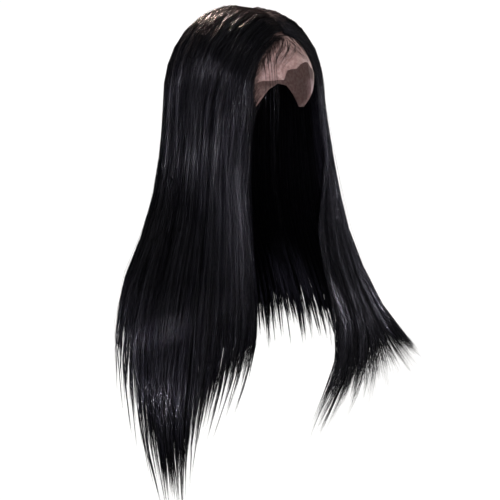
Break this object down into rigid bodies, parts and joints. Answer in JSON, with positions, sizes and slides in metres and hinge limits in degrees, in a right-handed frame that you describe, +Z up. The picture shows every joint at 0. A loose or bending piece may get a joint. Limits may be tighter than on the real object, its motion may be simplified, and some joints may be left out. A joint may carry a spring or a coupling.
{
  "type": "three-sixty lace wig",
  "caption": "Long straight black wig with a centre part: hair falls on a stretch crown cap inside a scalloped lace band that rings the head, open below for a head and neck.",
  "frame": {"origin": "inside of the crown, where the top of a head touches the cap", "axes": "+Z up along the head, -Y towards the face opening, +X to the wearer's left"},
  "size_m": [0.3919, 0.2633, 0.6406],
  "materials": {
    "hair": "straight black hair with a soft sheen along the strands",
    "lace": "fine pale beige lace net, matt",
    "cap_net": "dark stretch net with sewn weft rows, matt"
  },
  "bodies": {
    "root": {"crown_cap": "cap_net", "lace_band": "lace", "hair_right_front": "hair", "hair_right_side": "hair", "hair_back": "hair", "hair_left_side": "hair", "hair_left_front": "hair"}
  },
  "joints": []
}
